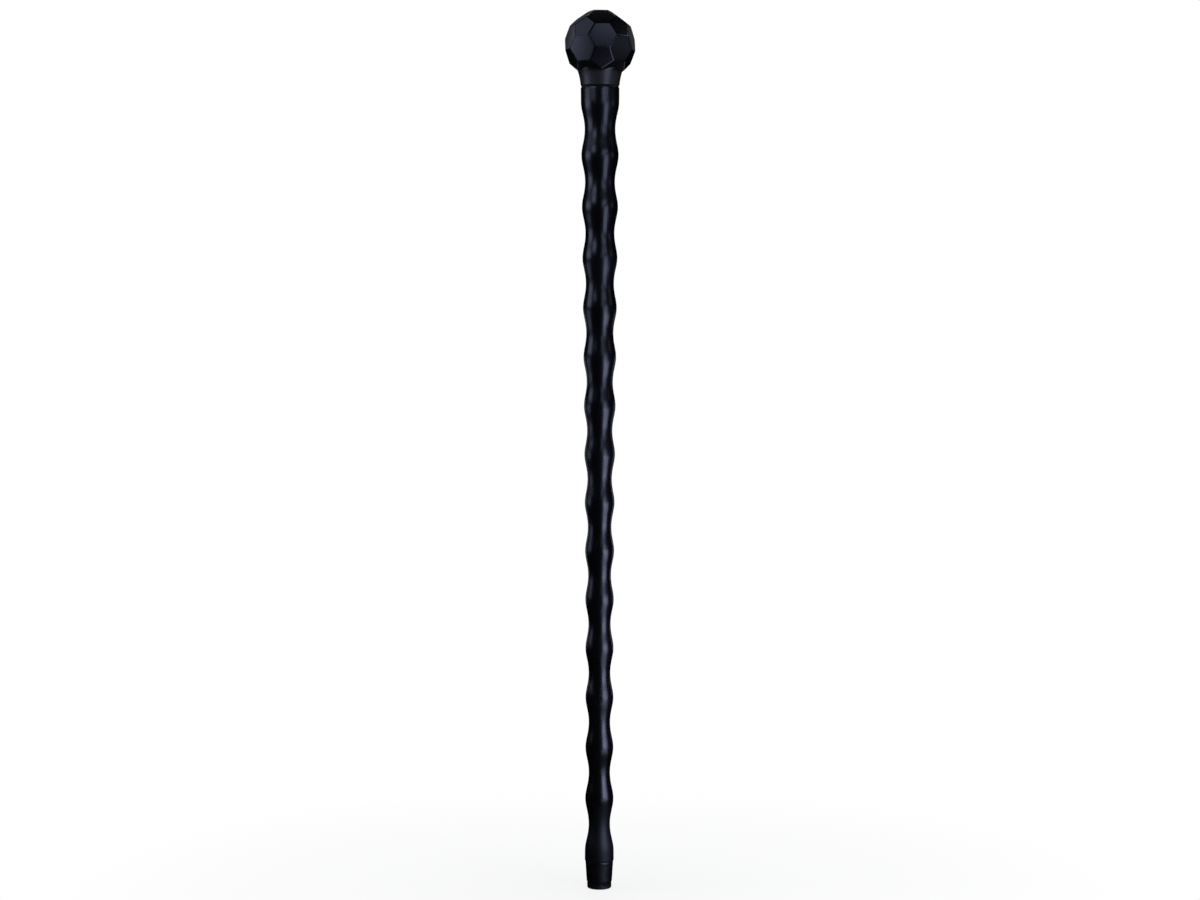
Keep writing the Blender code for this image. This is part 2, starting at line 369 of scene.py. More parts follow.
# %% [markdown]
# Under the ball a short neck flares up into the facets. It is a turned piece of its own at first, with a
# cubic curve as its outline, and a Boolean joins it to the ball, since the real knob is one moulding. Its
# upper end lies inside the ball. The facets meet the neck at 27 degrees or more, so a limit of 25 for the
# shading keeps that line crisp, and the small bevels smooth.

# %% Knob: neck
NECK_RADIUS, NECK_SLOPE, NECK_FLARE = 0.0208, 0.13, 330.0
NECK_HEIGHT, NECK_STEPS = 0.019, 18
NECK_EDGE, NECK_INSET = 0.0004, 0.004


def neck_radius(height):
    return NECK_RADIUS + NECK_SLOPE * height + NECK_FLARE * height**3


neck_path = [(neck_radius(NECK_HEIGHT) - NECK_INSET, KNOB_CENTRE[2])]
neck_path += [
    (neck_radius(NECK_HEIGHT * i / NECK_STEPS), KNOB_SEAT + NECK_HEIGHT * i / NECK_STEPS)
    for i in range(NECK_STEPS, 0, -1)
]
neck_path += arc(NECK_RADIUS - NECK_EDGE, KNOB_SEAT + NECK_EDGE, NECK_EDGE, 0, -90)
combine(knob, "UNION", turned_piece("neck", neck_path))
say(knob)

# %% [markdown]
# The bore for the brass insert comes from below, and is as wide and deep as the shaft's. Its cutter is a
# turned piece too, with a cone at its foot that leaves a lead-in at the bore's mouth.

# %% Knob: bore
drill_path = [
    (BORE_RADIUS + 3 * BORE_LEAD, KNOB_SEAT - 2 * BORE_LEAD),
    (BORE_RADIUS, KNOB_SEAT + BORE_LEAD),
    (BORE_RADIUS, KNOB_SEAT + BORE_DEPTH - BORE_CORNER),
    (BORE_RADIUS - BORE_CORNER, KNOB_SEAT + BORE_DEPTH),
]
combine(knob, "DIFFERENCE", turned_piece("drill", drill_path))
shade(knob, 25)
say(knob)

# %% [markdown]
# The foot is a rubber cup. Its wall thins downwards and steps in just above the tread, whose lower corner
# is well rounded. Two ring grooves in the sole grip the ground. Rubber has no sharp edges, so nearly every
# corner of the path is an arc. The path starts in the sole, goes up outside and ends in the socket that
# takes the spigot.

# %% Rubber foot
FOOT_RADIUS, FOOT_LOW_RADIUS, WALL_RINGS = 0.0152, 0.0138, 8
TREAD_TOP, TREAD_RADIUS, TREAD_CORNER = 0.0082, 0.0132, 0.0018
STEP_IN, STEP_DOWN, STEP_EDGE = 0.0006, 0.0009, 0.0003
SOCKET_RADIUS, SOCKET_FLOOR, SOCKET_CORNER = 0.0100, 0.0052, 0.0004
SOLE_GROOVES = ((0.0040, 0.0056), (0.0076, 0.0092))
GROOVE_DEPTH, GROOVE_EDGE = 0.0012, 0.0003
RIM_EDGE = 0.0005

foot_path = []
for inner, outer in SOLE_GROOVES:
    foot_path += arc(inner - GROOVE_EDGE, GROOVE_EDGE, GROOVE_EDGE, -90, 0, 3)
    foot_path += arc(inner + GROOVE_EDGE, GROOVE_DEPTH - GROOVE_EDGE, GROOVE_EDGE, 180, 90, 3)
    foot_path += arc(outer - GROOVE_EDGE, GROOVE_DEPTH - GROOVE_EDGE, GROOVE_EDGE, 90, 0, 3)
    foot_path += arc(outer + GROOVE_EDGE, GROOVE_EDGE, GROOVE_EDGE, 180, 270, 3)
foot_path += arc(TREAD_RADIUS - TREAD_CORNER, TREAD_CORNER, TREAD_CORNER, -90, 0, 7)
foot_path += [(FOOT_LOW_RADIUS - STEP_IN, TREAD_TOP - STEP_DOWN)]
foot_path += arc(FOOT_LOW_RADIUS - STEP_EDGE, TREAD_TOP, STEP_EDGE, -70, 0, 3)
for i in range(1, WALL_RINGS):
    radius = FOOT_LOW_RADIUS + (FOOT_RADIUS - FOOT_LOW_RADIUS) * i / WALL_RINGS
    foot_path += [(radius, TREAD_TOP + (FOOT_TOP - TREAD_TOP) * i / WALL_RINGS)]
foot_path += arc(FOOT_RADIUS - RIM_EDGE, FOOT_TOP - RIM_EDGE, RIM_EDGE, 0, 90)
foot_path += arc(SOCKET_RADIUS + RIM_EDGE, FOOT_TOP - RIM_EDGE, RIM_EDGE, 90, 180)
foot_path += arc(SOCKET_RADIUS - SOCKET_CORNER, SOCKET_FLOOR + SOCKET_CORNER, SOCKET_CORNER, 0, -90, 3)
foot = turned_piece("rubber_foot", foot_path)
shade(foot, 50)
say(foot)

# %% [markdown]
# A steel disc lies on the floor of the socket, so that the spigot can't punch through the rubber. It is
# stamped from sheet. The punch rolls the upper edge round and leaves the lower one crisp.

# %% Steel disc in the foot
DISC_RADIUS, DISC_WALL, DISC_ROLL = 0.0094, 0.0010, 0.0005
DISC_BEVEL_IN, DISC_BEVEL_UP = 0.0002, 0.0001

disc_low = SOCKET_FLOOR + GAP
disc_path = [
    (DISC_RADIUS - DISC_BEVEL_IN, disc_low),
    (DISC_RADIUS, disc_low + DISC_BEVEL_UP),
    (DISC_RADIUS, disc_low + DISC_WALL),
]
disc_path += arc(DISC_RADIUS - DISC_ROLL, disc_low + DISC_WALL, DISC_ROLL, 10, 90)
disc = turned_piece("foot_disc", disc_path, 64)
shade(disc)
say(disc)

# %% [markdown]
# A thin fibre washer fills the joint between knob and shaft, and its edge is the dark line under the neck.
# It is a ring, so its path is a closed loop, with the outer edge slightly rounded where it was pressed.

# %% Joint washer
WASHER_RADIUS, WASHER_EDGE = 0.0202, 0.0003
WASHER_HOLE, HOLE_EDGE = 0.0053, 0.0001

washer_low, washer_high = SHAFT_TOP + GAP, KNOB_SEAT - GAP
washer_path = arc(WASHER_RADIUS - WASHER_EDGE, washer_low + WASHER_EDGE, WASHER_EDGE, -90, 0, 3)
washer_path += arc(WASHER_RADIUS - WASHER_EDGE, washer_high - WASHER_EDGE, WASHER_EDGE, 0, 90, 3)
washer_path += [(WASHER_HOLE + HOLE_EDGE, washer_high), (WASHER_HOLE, washer_high - HOLE_EDGE)]
washer_path += [(WASHER_HOLE, washer_low + HOLE_EDGE), (WASHER_HOLE + HOLE_EDGE, washer_low)]
washer = turned_piece("joint_washer_ring", washer_path, ring=True)
shade(washer)
say(washer)

# %% [markdown]
# A screw thread is one small ridge that climbs round the rod. A Screw modifier makes it: it carries the
# outline of a single turn round the axis and lifts it by the pitch at each turn. Knob and shaft have a
# coarse 10 mm thread, 1.5 mm a turn. All threads here start a whole number of turns from the same height,
# so that the stud and the inserts mesh. The outline starts as one point, which is a small plane merged
# into its middle, and its flanks rise and fall over these shares of the pitch.

# %% Cutting a thread
PITCH = 0.0015
RISE_START, RISE_END, FALL_START, FALL_END = 0.12, 0.47, 0.62, 0.97
THREAD_START = SHAFT_TOP - 0.0240
THREAD_STEPS = 48


def threaded_rod(name, root, crest, turns_below, turns):
    """A closed rod with a right-hand thread, which starts this many turns below THREAD_START."""
    low = THREAD_START - turns_below * PITCH
    outline = [
        (root, low),
        (root, low + RISE_START * PITCH),
        (crest, low + RISE_END * PITCH),
        (crest, low + FALL_START * PITCH),
        (root, low + FALL_END * PITCH),
        (root, low + PITCH),
    ]
    pick_nothing()
    bpy.ops.mesh.primitive_plane_add(size=0.001, location=(root, 0, low))
    rod = take_piece(name)
    edit_all(rod)
    bpy.ops.mesh.merge(type="CENTER")
    for (radius, height), (next_radius, next_height) in zip(outline, outline[1:]):
        step = (next_radius - radius, 0, next_height - height)
        bpy.ops.mesh.extrude_region_move(TRANSFORM_OT_translate={"value": step})
    bpy.ops.object.mode_set(mode="OBJECT")
    bpy.ops.object.modifier_add(type="SCREW")
    screw = rod.modifiers[-1]
    screw.screw_offset = PITCH
    screw.iterations = turns
    screw.steps = screw.render_steps = THREAD_STEPS
    bpy.ops.object.modifier_apply(modifier=screw.name)
    edit_all(rod)
    bpy.ops.mesh.remove_doubles(threshold=HAIR)
    middle = low + turns * PITCH / 2
    for end in ("lower", "upper"):
        pick_openings()
        if end == "lower":
            bpy.ops.object.mode_set(mode="OBJECT")
            for point in rod.data.vertices:
                point.select = point.select and point.co.z < middle
            bpy.ops.object.mode_set(mode="EDIT")
        close_with_fan()
    face_outwards()
    return rod


# %% [markdown]
# The stud is a length of that thread with its two ends chamfered. The chamfered shape is a plain turned
# blank, and the stud is what blank and thread have in common, which is a Boolean intersection.

# %% Joining stud
STUD_CREST, STUD_ROOT, STUD_TURNS = 0.0049, 0.0041, 33
STUD_REACH = 0.020
BLANK_RADIUS, BLANK_END, BLANK_CHAMFER = 0.0050, 0.0038, 0.0011

stud_low, stud_high = SHAFT_TOP - STUD_REACH, KNOB_SEAT + STUD_REACH
blank_path = [
    (BLANK_END, stud_low),
    (BLANK_RADIUS, stud_low + BLANK_CHAMFER),
    (BLANK_RADIUS, stud_high - BLANK_CHAMFER),
    (BLANK_END, stud_high),
]
stud = threaded_rod("threaded_stud", STUD_ROOT, STUD_CREST, 0, STUD_TURNS)
combine(stud, "INTERSECT", turned_piece("blank", blank_path, 64))
shade(stud, 30)
say(stud)

# %% [markdown]
# A brass insert gives the plastic a strong thread. It is a turned ring with two grooves round its outside,
# which leave three bands, and with a cone at each end of its hole.

# %% Brass insert: turned blank
INSERT_RADIUS, INSERT_LENGTH, INSERT_SIDES = 0.0070, 0.022, 72
INSERT_HOLE, HOLE_CONE, INSERT_EDGE = 0.0043, 0.0009, 0.0004
INSERT_GROOVES = (0.014, 0.008)
GROOVE_HALF, GROOVE_SLOPE, GROOVE_FLOOR = 0.0014, 0.0006, 0.0064
INSERT_SUNK = 0.0005

insert_low = SHAFT_TOP - INSERT_SUNK - INSERT_LENGTH
insert_path = [(INSERT_RADIUS - INSERT_EDGE, INSERT_LENGTH), (INSERT_RADIUS, INSERT_LENGTH - INSERT_EDGE)]
for middle in INSERT_GROOVES:
    insert_path += [
        (INSERT_RADIUS, middle + GROOVE_HALF),
        (GROOVE_FLOOR, middle + GROOVE_HALF - GROOVE_SLOPE),
        (GROOVE_FLOOR, middle - GROOVE_HALF + GROOVE_SLOPE),
        (INSERT_RADIUS, middle - GROOVE_HALF),
    ]
insert_path += [(INSERT_RADIUS, INSERT_EDGE), (INSERT_RADIUS - INSERT_EDGE, 0)]
insert_path += [(INSERT_HOLE + HOLE_CONE, 0), (INSERT_HOLE, HOLE_CONE)]
insert_path += [(INSERT_HOLE, INSERT_LENGTH - HOLE_CONE), (INSERT_HOLE + HOLE_CONE, INSERT_LENGTH)]
insert_path = [(radius, insert_low + height) for radius, height in insert_path]
shaft_insert = turned_piece("brass_insert_shaft", insert_path, INSERT_SIDES, ring=True)
say(shaft_insert)

# %% [markdown]
# The bands carry fine teeth that lock the insert in its bore. They come from an inset of every second face
# of each band, raised a little. A band's faces are those that look outwards and are larger than the narrow
# ones at the edges. They are sorted by their direction from the axis, so that every second one can be
# picked.

# %% Brass insert: teeth
TOOTH_INSET, TOOTH_HEIGHT = 0.00009, 0.00018
LEVEL, OUTERMOST, LARGE = 0.01, INSERT_RADIUS - 0.0001, 1e-6
START_LINE = Vector((1, 0.001))


def on_band(face):
    return abs(face.normal.z) < LEVEL and face.center.xy.length > OUTERMOST and face.area > LARGE


def direction_of(face):
    return face.center.xy.angle_signed(START_LINE)


bands = {}
for face in shaft_insert.data.polygons:
    if on_band(face):
        bands.setdefault(round(face.center.z, 5), []).append((direction_of(face), face.index))
every_second = {index for members in bands.values() for _, index in sorted(members)[::2]}
print("toothed bands at", sorted(bands), "with", len(every_second), "teeth")
edit_some(shaft_insert, "FACE", lambda face: face.index in every_second)
bpy.ops.mesh.inset(thickness=TOOTH_INSET, depth=TOOTH_HEIGHT, use_individual=True)

# %% [markdown]
# Inside, a tap cuts the thread. It is a threaded rod a little larger than the stud, so that the stud turns
# freely, and long enough to come out at both ends of the insert.

# %% Brass insert: tapped hole
TAP_CLEARANCE, TAP_TURNS = 0.00015, 19

tap = threaded_rod("tap", STUD_ROOT + TAP_CLEARANCE, STUD_CREST + TAP_CLEARANCE, 1, TAP_TURNS)
combine(shaft_insert, "DIFFERENCE", tap)
shade(shaft_insert, 30)
say(shaft_insert)

# %% [markdown]
# The knob's insert is the same piece, as it would be from a box of them. A duplicate has a mesh of its own,
# which is moved up by a whole number of turns, so that its thread stays in step with the stud's.

# %% Knob's insert
pick_piece(shaft_insert)
bpy.ops.object.duplicate()
knob_insert = bpy.context.object
knob_insert.name = knob_insert.data.name = "brass_insert_knob"
lift = PITCH * round((KNOB_SEAT + INSERT_SUNK - insert_low) / PITCH)
edit_all(knob_insert)
bpy.ops.transform.translate(value=(0, 0, lift))
bpy.ops.object.mode_set(mode="OBJECT")
print("knob's insert starts", round(1000 * (insert_low + lift - KNOB_SEAT), 2), "mm above the seat")
say(knob_insert)

# %% [markdown]
# Every new piece rides on the body of the imported model that moves it, and stands in for the plain solid
# there. Each line of the table also gives a slot, the name of the piece's finish, which the loop doesn't
# use.

# %% Fit the pieces to the frame
PIECES = (
    (foot, "ferrule", "ferrule", "rubber"),
    (disc, "ferrule", "ferrule_washer", "steel"),
    (shaft, "stick", "shaft", "moulding"),
    (shaft_insert, "stick", "shaft_insert", "brass"),
    (washer, "washer", "joint_washer", "fibre"),
    (knob, "knob", "knob", "moulding"),
    (knob_insert, "knob", "knob_insert", "brass"),
    (stud, "knob", "joining_stud", "steel"),
)
for piece, body, node, slot in PIECES:
    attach(piece, body)
    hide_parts(node)
    node_low, node_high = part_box(node)
    low = Vector([min(point.co[i] for point in piece.data.vertices) for i in range(3)])
    high = Vector([max(point.co[i] for point in piece.data.vertices) for i in range(3)])
    over = max(max(node_low - low), max(high - node_high))
    print(piece.name, "stands", round(1000 * over, 3), "mm proud of", node)

# %% [markdown]
# Finishes are built from nodes. An input of a node takes either a plain value or a link from another node,
# and this helper does both, so that a finish reads as a short list of what feeds what.


# %% Node helpers
def add_node(tree, kind, inputs=None, **settings):
    node = tree.nodes.new(kind)
    for name, value in settings.items():
        setattr(node, name, value)
    for name, value in (inputs or {}).items():
        if isinstance(value, bpy.types.NodeSocket):
            tree.links.new(value, node.inputs[name])
        else:
            node.inputs[name].default_value = value
    return node


def math_node(tree, operation, first, second=0.0, clamp=False):
    inputs = {0: first, 1: second}
    return add_node(tree, "ShaderNodeMath", inputs, operation=operation, use_clamp=clamp).outputs[0]


def remap(tree, value, low, high, to_low, to_high):
    inputs = {"Value": value, "From Min": low, "From Max": high, "To Min": to_low, "To Max": to_high}
    return add_node(tree, "ShaderNodeMapRange", inputs).outputs["Result"]


# %% [markdown]
# Patterns are placed by Object coordinates, which are a point's place on the piece in metres. They stay on
# the piece when it moves, and their z is the height over the floor.


# %% Pattern helpers
def own_place(tree):
    return add_node(tree, "ShaderNodeTexCoord").outputs["Object"]


def height_over_floor(tree):
    return add_node(tree, "ShaderNodeSeparateXYZ", {"Vector": own_place(tree)}).outputs["Z"]


def stretched_place(tree, across, along):
    """The place, with patterns made this many times finer across the stick and along it."""
    inputs = {"Vector": own_place(tree), "Scale": (across, across, along)}
    return add_node(tree, "ShaderNodeMapping", inputs).outputs["Vector"]


def noise(tree, scale, detail=2.0, place=None, distortion=0.0):
    """A cloudy pattern, mostly between 0.3 and 0.7."""
    if place is None:
        place = own_place(tree)
    inputs = {"Vector": place, "Scale": scale, "Detail": detail, "Distortion": distortion}
    return add_node(tree, "ShaderNodeTexNoise", inputs).outputs["Fac"]


# %% [markdown]
# What several finishes share is built once as a node group, like a stamp that is used again with other
# numbers. A group takes a few named inputs and gives back one mask or height, and the shader that uses it
# stays in the material.


# %% Group helpers
def group_tree(name, inputs, output):
    """An empty node group. Gives back its tree, its inputs, and the socket that its result goes to."""
    tree = bpy.data.node_groups.new(name, "ShaderNodeTree")
    for socket, value in inputs.items():
        made = tree.interface.new_socket(socket, in_out="INPUT", socket_type="NodeSocketFloat")
        made.default_value = value
    tree.interface.new_socket(output, in_out="OUTPUT", socket_type="NodeSocketFloat")
    given = tree.nodes.new("NodeGroupInput").outputs
    return tree, given, tree.nodes.new("NodeGroupOutput").inputs[output]


def use_group(tree, group, inputs):
    return add_node(tree, "ShaderNodeGroup", inputs, node_tree=group).outputs[0]


# %% [markdown]
# Grain: a moulded or rubber skin is never a mirror. It has a soft waviness about a millimetre across, called
# orange peel, and a finer grain over it. Both are noise, and the group adds them up as one height.

# %% Group: skin grain
skin_grain, given, result = group_tree(
    "skin grain", {"Peel Scale": 700.0, "Grain Scale": 4000.0, "Grain Share": 0.3}, "Height"
)
peel = noise(skin_grain, given["Peel Scale"], 1.0)
grain = noise(skin_grain, given["Grain Scale"], 2.0)
fine = math_node(skin_grain, "MULTIPLY", grain, given["Grain Share"])
skin_grain.links.new(math_node(skin_grain, "ADD", peel, fine), result)
print(skin_grain.name, "has", len(skin_grain.nodes), "nodes")

# %% [markdown]
# Scuffs: fine lines where the stick has leant on walls and lain on floors. A thin line is where a stretched
# noise crosses its middle value, and a second, coarser noise leaves them only in patches.

# %% Group: scuffs
scuffs, given, result = group_tree("scuffs", {"Fineness": 60.0, "Patches": 14.0, "Share": 0.5}, "Mask")
lines = noise(scuffs, given["Fineness"], 3.0, stretched_place(scuffs, 1.0, 0.16), distortion=0.6)
off_middle = math_node(scuffs, "ABSOLUTE", math_node(scuffs, "SUBTRACT", lines, 0.5))
thin = remap(scuffs, off_middle, 0.0, 0.006, 1.0, 0.0)
patch = remap(scuffs, noise(scuffs, given["Patches"], 2.0), 0.52, 0.66, 0.0, 1.0)
amount = math_node(scuffs, "MULTIPLY", math_node(scuffs, "MULTIPLY", thin, patch), given["Share"])
scuffs.links.new(amount, result)
print(scuffs.name, "has", len(scuffs.nodes), "nodes")

# %% [markdown]
# Edge wear: hands and handling polish the corners first. A Bevel node gives the normal that a rounded edge
# would have. Where it turns away from the true normal there is an edge nearby, and that difference is the
# mask, broken up by noise.

# %% Group: edge wear
edge_wear, given, result = group_tree("edge wear", {"Width": 0.001, "Share": 0.5}, "Mask")
rounded = add_node(edge_wear, "ShaderNodeBevel", {"Radius": given["Width"]}, samples=6).outputs["Normal"]
true_normal = add_node(edge_wear, "ShaderNodeNewGeometry").outputs["Normal"]
both = {0: rounded, 1: true_normal}
agree = add_node(edge_wear, "ShaderNodeVectorMath", both, operation="DOT_PRODUCT").outputs["Value"]
at_edge = remap(edge_wear, agree, 0.995, 0.93, 0.0, 1.0)
broken = remap(edge_wear, noise(edge_wear, 260.0, 3.0), 0.40, 0.60, 0.25, 1.0)
worn = math_node(edge_wear, "MULTIPLY", math_node(edge_wear, "MULTIPLY", at_edge, broken), given["Share"])
edge_wear.links.new(worn, result)
print(edge_wear.name, "has", len(edge_wear.nodes), "nodes")

# %% [markdown]
# A finish starts from a material with one Principled shader, whose even values are set on its sockets. The
# other helpers blend two colours by a mask, let a height show as relief, and give the finish to its pieces.


# %% Material helpers
def new_finish(name, roughness, metallic=0.0, ior=1.49):
    """A new material. Its roughness is the even one, which a pattern linked there takes over from."""
    material = bpy.data.materials.new(name)
    material.use_nodes = True
    surface = material.node_tree.nodes["Principled BSDF"]
    surface.inputs["Roughness"].default_value = roughness
    surface.inputs["Metallic"].default_value = metallic
    surface.inputs["IOR"].default_value = ior
    return material.node_tree, surface, material


def blend(tree, mask, first, second):
    """The first colour where the mask is 0, and the second where it is 1."""
    ends = [end if isinstance(end, bpy.types.NodeSocket) else (*end, 1.0) for end in (first, second)]
    inputs = {0: mask, 6: ends[0], 7: ends[1]}
    return add_node(tree, "ShaderNodeMix", inputs, data_type="RGBA").outputs[2]


def show_relief(tree, surface, height, strength, distance):
    inputs = {"Height": height, "Strength": strength, "Distance": distance}
    bump = add_node(tree, "ShaderNodeBump", inputs)
    tree.links.new(bump.outputs["Normal"], surface.inputs["Normal"])


def give(finish, *pieces):
    for piece in pieces:
        piece.data.materials.clear()
        piece.data.materials.append(finish)
    print(finish.name, "is on", [piece.name for piece in pieces])


# %% [markdown]
# The knob and the shaft are black polypropylene with a satin gloss. The black is deep and slightly blue, so
# almost all that shows is the reflection of the lamps. It is paler along the scuffs and on worn edges. The
# neck has fine lathe rings, and its colour is painted paler: a painted reflection, which stands in for the
# light that its downward-facing skin reflects from below. Its mask comes from the height over the floor, and
# the rings from a noise that is drawn out round the axis.

# %% Finish: black moulding, colour
NECK_TURNED_TO, NECK_TURNED_END = 0.0125, 0.0165

tree, surface, black_moulding = new_finish("satin black moulding", 0.26)
surface.inputs["Specular Tint"].default_value = (0.70, 0.75, 1.0, 1.0)
flow = noise(tree, 18.0, 3.0)
marks = use_group(tree, scuffs, {"Fineness": 55.0, "Patches": 16.0, "Share": 0.5})
edges = use_group(tree, edge_wear, {"Width": 0.0009, "Share": 0.6})
uneven = remap(tree, flow, 0.35, 0.65, 0.0, 1.0)
deep = blend(tree, uneven, (0.0010, 0.0010, 0.0014), (0.0015, 0.0016, 0.0021))
marked = blend(tree, marks, deep, (0.012, 0.012, 0.014))
worn = blend(tree, edges, marked, (0.008, 0.0085, 0.010))
height = height_over_floor(tree)
above_seat = remap(tree, height, KNOB_SEAT - 0.0002, KNOB_SEAT, 0.0, 1.0)
under_facets = remap(tree, height, KNOB_SEAT + NECK_TURNED_TO, KNOB_SEAT + NECK_TURNED_END, 1.0, 0.0)
on_neck = math_node(tree, "MULTIPLY", above_seat, under_facets)
lathe_rings = noise(tree, 2200.0, 3.0, stretched_place(tree, 0.03, 1.0))
# Painted reflection: the neck band is painted paler to stand in for light that it reflects from below.
neck_painted_reflection = math_node(tree, "MULTIPLY", on_neck, remap(tree, lathe_rings, 0.35, 0.65, 0.75, 1.0))
tree.links.new(blend(tree, neck_painted_reflection, worn, (0.0098, 0.0096, 0.0105)), surface.inputs["Base Color"])
give(black_moulding, knob, shaft)

# %% [markdown]
# The gloss varies a little from place to place, because the melt cooled unevenly. It is duller along the
# scuffs, brighter on worn edges, duller again on the turned neck, and dull on the lowest lobe, which grass
# and grit have rubbed. Each of these adds to the roughness or takes from it.

# %% Finish: black moulding, gloss and relief
DULL_UP_TO, DULL_END = 0.086, 0.097

gloss = remap(tree, flow, 0.3, 0.7, 0.23, 0.29)
duller = math_node(tree, "ADD", gloss, math_node(tree, "MULTIPLY", marks, 0.20))
polished = math_node(tree, "SUBTRACT", duller, math_node(tree, "MULTIPLY", edges, 0.05))
neck_duller = math_node(tree, "ADD", polished, math_node(tree, "MULTIPLY", on_neck, 0.10))
near_ground = remap(tree, height, DULL_UP_TO, DULL_END, 0.26, 0.0)
tree.links.new(math_node(tree, "ADD", neck_duller, near_ground), surface.inputs["Roughness"])
skin = use_group(tree, skin_grain, {"Peel Scale": 650.0, "Grain Scale": 5200.0, "Grain Share": 0.10})
rings_height = math_node(tree, "MULTIPLY", math_node(tree, "MULTIPLY", lathe_rings, on_neck), 2.0)
show_relief(tree, surface, math_node(tree, "ADD", skin, rings_height), 0.10, 0.00010)
print(black_moulding.name, "has", len(tree.nodes), "nodes")

# %% [markdown]
# The foot's rubber is a duller black, a little less blue. Its skin is rougher, and near the ground it is
# grey with dust, which gets in at the tread and thins out upwards.

# %% Finish: rubber
DUST_TOP = 0.010

tree, surface, black_rubber = new_finish("black rubber", 0.45, ior=1.75)
surface.inputs["Specular Tint"].default_value = (0.72, 0.77, 1.0, 1.0)
low_down = remap(tree, height_over_floor(tree), 0.0, DUST_TOP, 0.6, 0.0)
cloudy = remap(tree, noise(tree, 220.0, 4.0), 0.42, 0.62, 0.2, 1.0)
dusty = math_node(tree, "MULTIPLY", low_down, cloudy, clamp=True)
edges = use_group(tree, edge_wear, {"Width": 0.0008, "Share": 0.5})
clean = blend(tree, edges, (0.0012, 0.0012, 0.0015), (0.006, 0.006, 0.0065))
tree.links.new(blend(tree, dusty, clean, (0.014, 0.0135, 0.0125)), surface.inputs["Base Color"])
mottled = remap(tree, noise(tree, 90.0, 3.0), 0.3, 0.7, 0.32, 0.42)
rougher = math_node(tree, "ADD", mottled, math_node(tree, "MULTIPLY", dusty, 0.18))
tree.links.new(rougher, surface.inputs["Roughness"])
skin = use_group(tree, skin_grain, {"Peel Scale": 900.0, "Grain Scale": 3600.0, "Grain Share": 0.6})
show_relief(tree, surface, skin, 0.35, 0.00015)
give(black_rubber, foot)

# %% [markdown]
# The washer is vulcanised fibre: matt, a little mottled, with short fibres that lie flat in the sheet.

# %% Finish: fibre
tree, surface, black_fibre = new_finish("black fibre", 0.75)
surface.inputs["Specular IOR Level"].default_value = 0.25
fibres = noise(tree, 700.0, 4.0, stretched_place(tree, 1.0, 5.0))
mottle = remap(tree, fibres, 0.35, 0.65, 0.0, 1.0)
colour = blend(tree, mottle, (0.0010, 0.0010, 0.0012), (0.0022, 0.0021, 0.0023))
tree.links.new(colour, surface.inputs["Base Color"])
tree.links.new(remap(tree, fibres, 0.3, 0.7, 0.68, 0.82), surface.inputs["Roughness"])
show_relief(tree, surface, fibres, 0.5, 0.0001)
give(black_fibre, washer)

# %% [markdown]
# The stud and the disc are zinc-plated steel. The plating is a cloudy blue-grey with fine drawn lines, and
# the crests of a thread are brighter, because they rub.

# %% Finish: zinc-plated steel
tree, surface, zinc_steel = new_finish("zinc-plated steel", 0.32, metallic=1.0)
cloud = remap(tree, noise(tree, 420.0, 4.0), 0.35, 0.65, 0.0, 1.0)
edges = use_group(tree, edge_wear, {"Width": 0.00025, "Share": 0.8})
marks = use_group(tree, scuffs, {"Fineness": 240.0, "Patches": 90.0, "Share": 0.5})
plating = blend(tree, cloud, (0.56, 0.57, 0.59), (0.66, 0.67, 0.67))
tree.links.new(blend(tree, edges, plating, (0.78, 0.78, 0.77)), surface.inputs["Base Color"])
satin = remap(tree, cloud, 0.0, 1.0, 0.28, 0.38)
duller = math_node(tree, "ADD", satin, math_node(tree, "MULTIPLY", marks, 0.15))
tree.links.new(duller, surface.inputs["Roughness"])
skin = use_group(tree, skin_grain, {"Peel Scale": 1500.0, "Grain Scale": 7000.0, "Grain Share": 0.5})
show_relief(tree, surface, skin, 0.2, 0.00005)
give(zinc_steel, stud, disc)

# %% [markdown]
# The inserts are turned brass. The tool leaves rings that are much finer along the axis than round it, so
# the noise behind them is drawn out round the axis. In patches the brass has gone a little brown.

# %% Finish: turned brass
tree, surface, turned_brass = new_finish("turned brass", 0.28, metallic=1.0)
tool_rings = noise(tree, 9000.0, 2.0, stretched_place(tree, 0.04, 1.0))
brown = remap(tree, noise(tree, 300.0, 3.0), 0.45, 0.70, 0.0, 0.7)
edges = use_group(tree, edge_wear, {"Width": 0.00025, "Share": 0.8})
tarnished = blend(tree, brown, (0.74, 0.55, 0.26), (0.52, 0.35, 0.16))
tree.links.new(blend(tree, edges, tarnished, (0.84, 0.66, 0.35)), surface.inputs["Base Color"])
tree.links.new(remap(tree, tool_rings, 0.3, 0.7, 0.22, 0.36), surface.inputs["Roughness"])
show_relief(tree, surface, tool_rings, 0.3, 0.00004)
give(turned_brass, shaft_insert, knob_insert)

# %% [markdown]
# The stick stands on a pale floor. The camera sees the floor partly as a lit surface, which keeps the
# stick's soft shadow, and mostly as plain white. Away from the foot the white takes over, so that floor and
# backdrop become one. Light Path tells whether a ray comes from the camera, a reflection or through glass.


# %% Floor material
SHADOW_NEAR, SHADOW_FAR = 0.05, 0.60
WHITE_NEAR = 0.80
PAPER_GREY = (0.80, 0.80, 0.80, 1.0)
WHITE = (1.0, 1.0, 1.0, 1.0)


def seen_rays(tree):
    """1 for rays from the camera, from a reflection and through glass, and 0 for lighting."""
    rays = add_node(tree, "ShaderNodeLightPath").outputs
    either = math_node(tree, "ADD", rays["Is Camera Ray"], rays["Is Glossy Ray"], clamp=True)
    return math_node(tree, "ADD", either, rays["Is Transmission Ray"], clamp=True)


